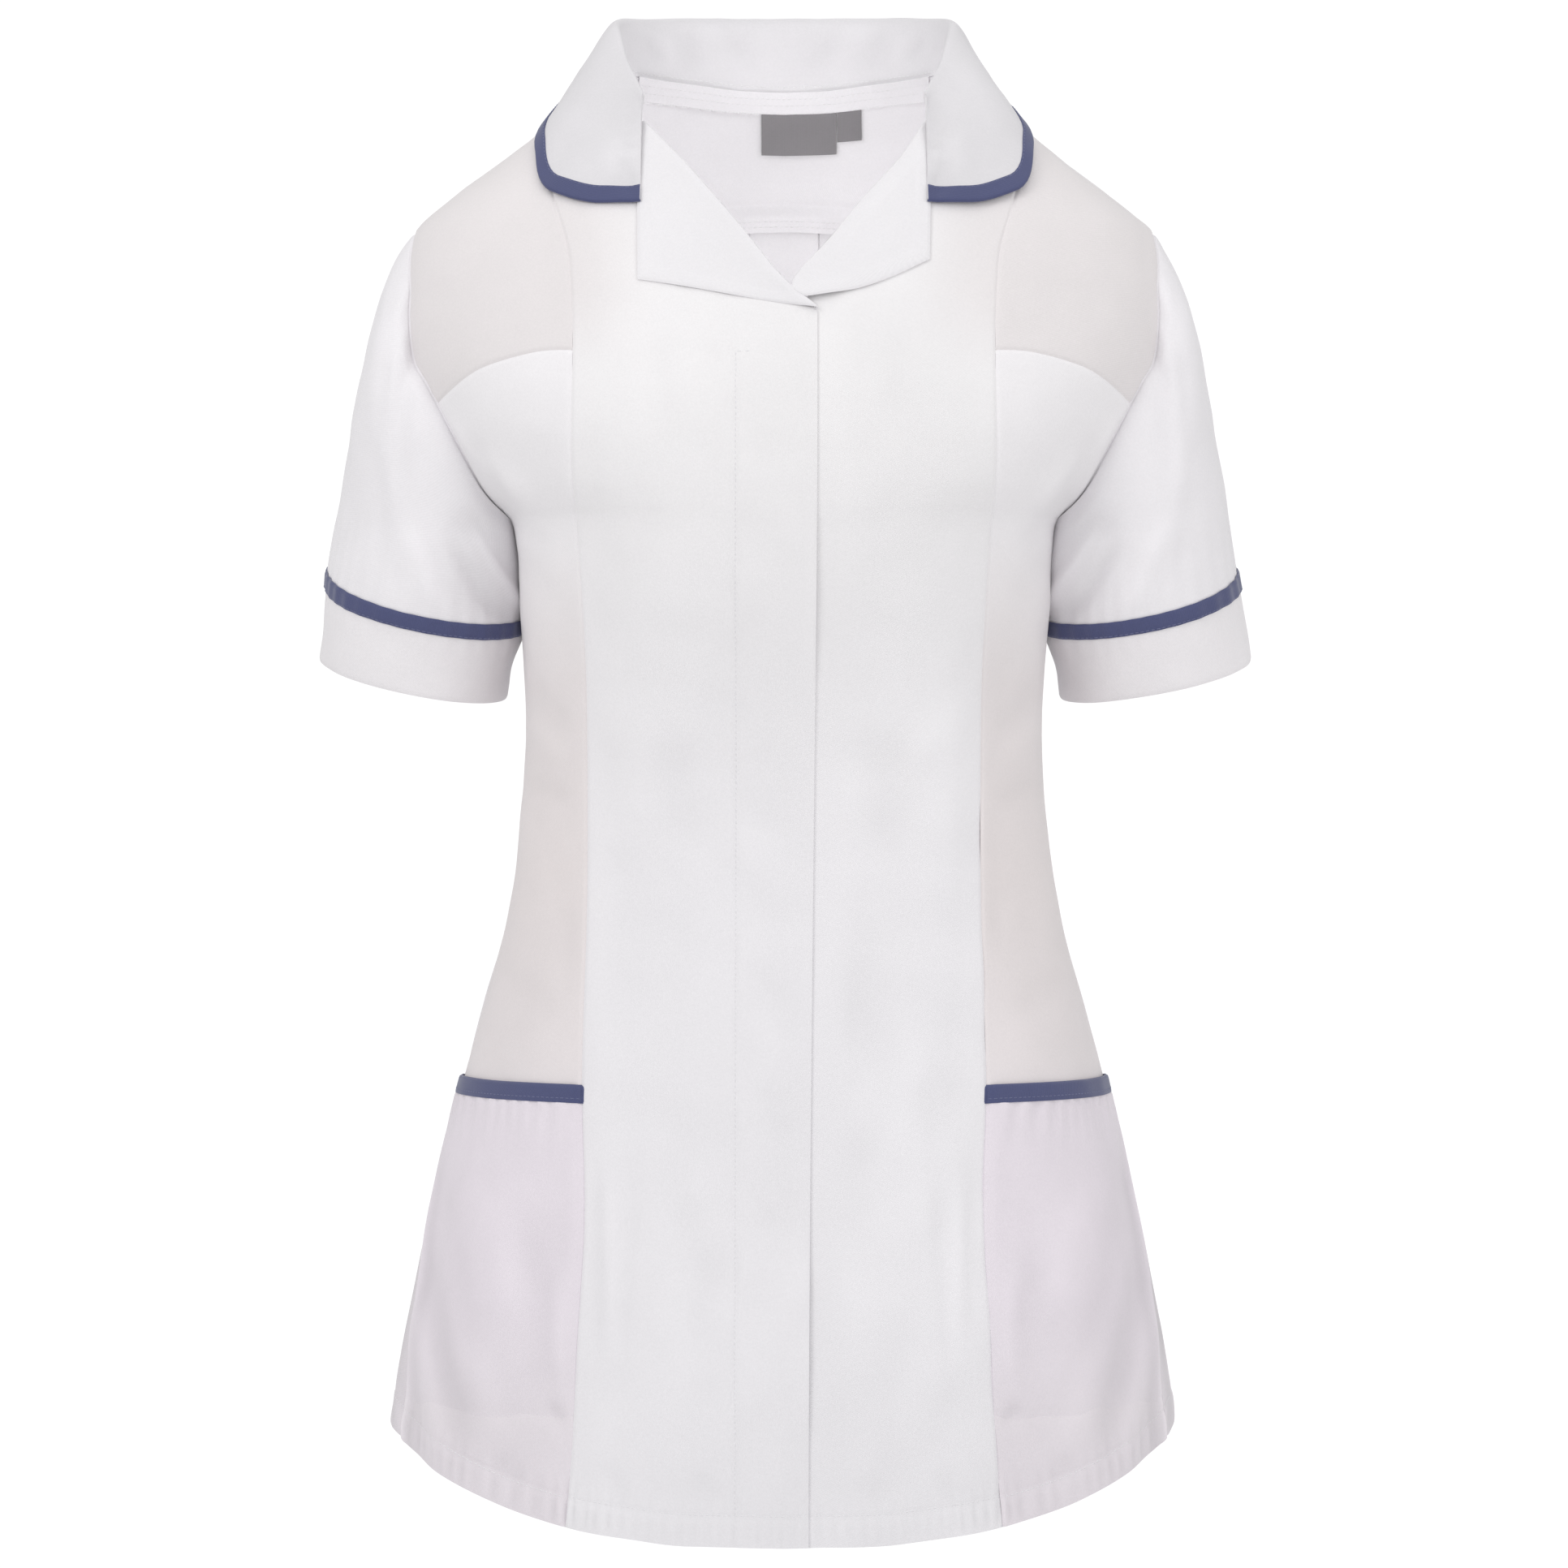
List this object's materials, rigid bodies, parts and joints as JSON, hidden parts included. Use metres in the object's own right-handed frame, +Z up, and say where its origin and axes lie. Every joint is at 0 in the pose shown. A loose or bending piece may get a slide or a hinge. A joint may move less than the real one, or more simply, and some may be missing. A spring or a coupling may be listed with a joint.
{
  "type": "medical tunic",
  "caption": "Short-sleeved hollow workwear tunic with turned collar and lapels, curved bust seams, side pockets, blue bias trims and a pleated back.",
  "frame": {"origin": "middle of the neck opening, level with the inner ends of the shoulders, where the wearer's neck and shoulders hold the garment", "axes": "the front faces -Y, +Z is up, +X is the wearer's left"},
  "size_m": [0.5048, 0.277, 0.809],
  "materials": {
    "white_twill": "white poly-cotton twill with a soft sheen",
    "blue_trim": "matte blue bias-cut twill",
    "grey_label": "smooth grey woven ribbon, blank"
  },
  "bodies": {
    "root": {"front_right": "white_twill", "front_left": "white_twill", "shoulder_right": "white_twill", "shoulder_left": "white_twill", "side_right": "white_twill", "side_left": "white_twill", "pocket_right": "white_twill", "pocket_left": "white_twill", "pocket_trim_right": "blue_trim", "pocket_trim_left": "blue_trim", "yoke": "white_twill", "back": "white_twill", "sleeve_right": "white_twill", "sleeve_left": "white_twill", "cuff_right": "white_twill", "cuff_left": "white_twill", "cuff_trim_right": "blue_trim", "cuff_trim_left": "blue_trim", "collar": "white_twill", "collar_trim": "blue_trim", "lapel_right": "white_twill", "lapel_left": "white_twill", "neck_strip": "white_twill", "label": "grey_label", "size_tab": "grey_label"}
  },
  "joints": []
}
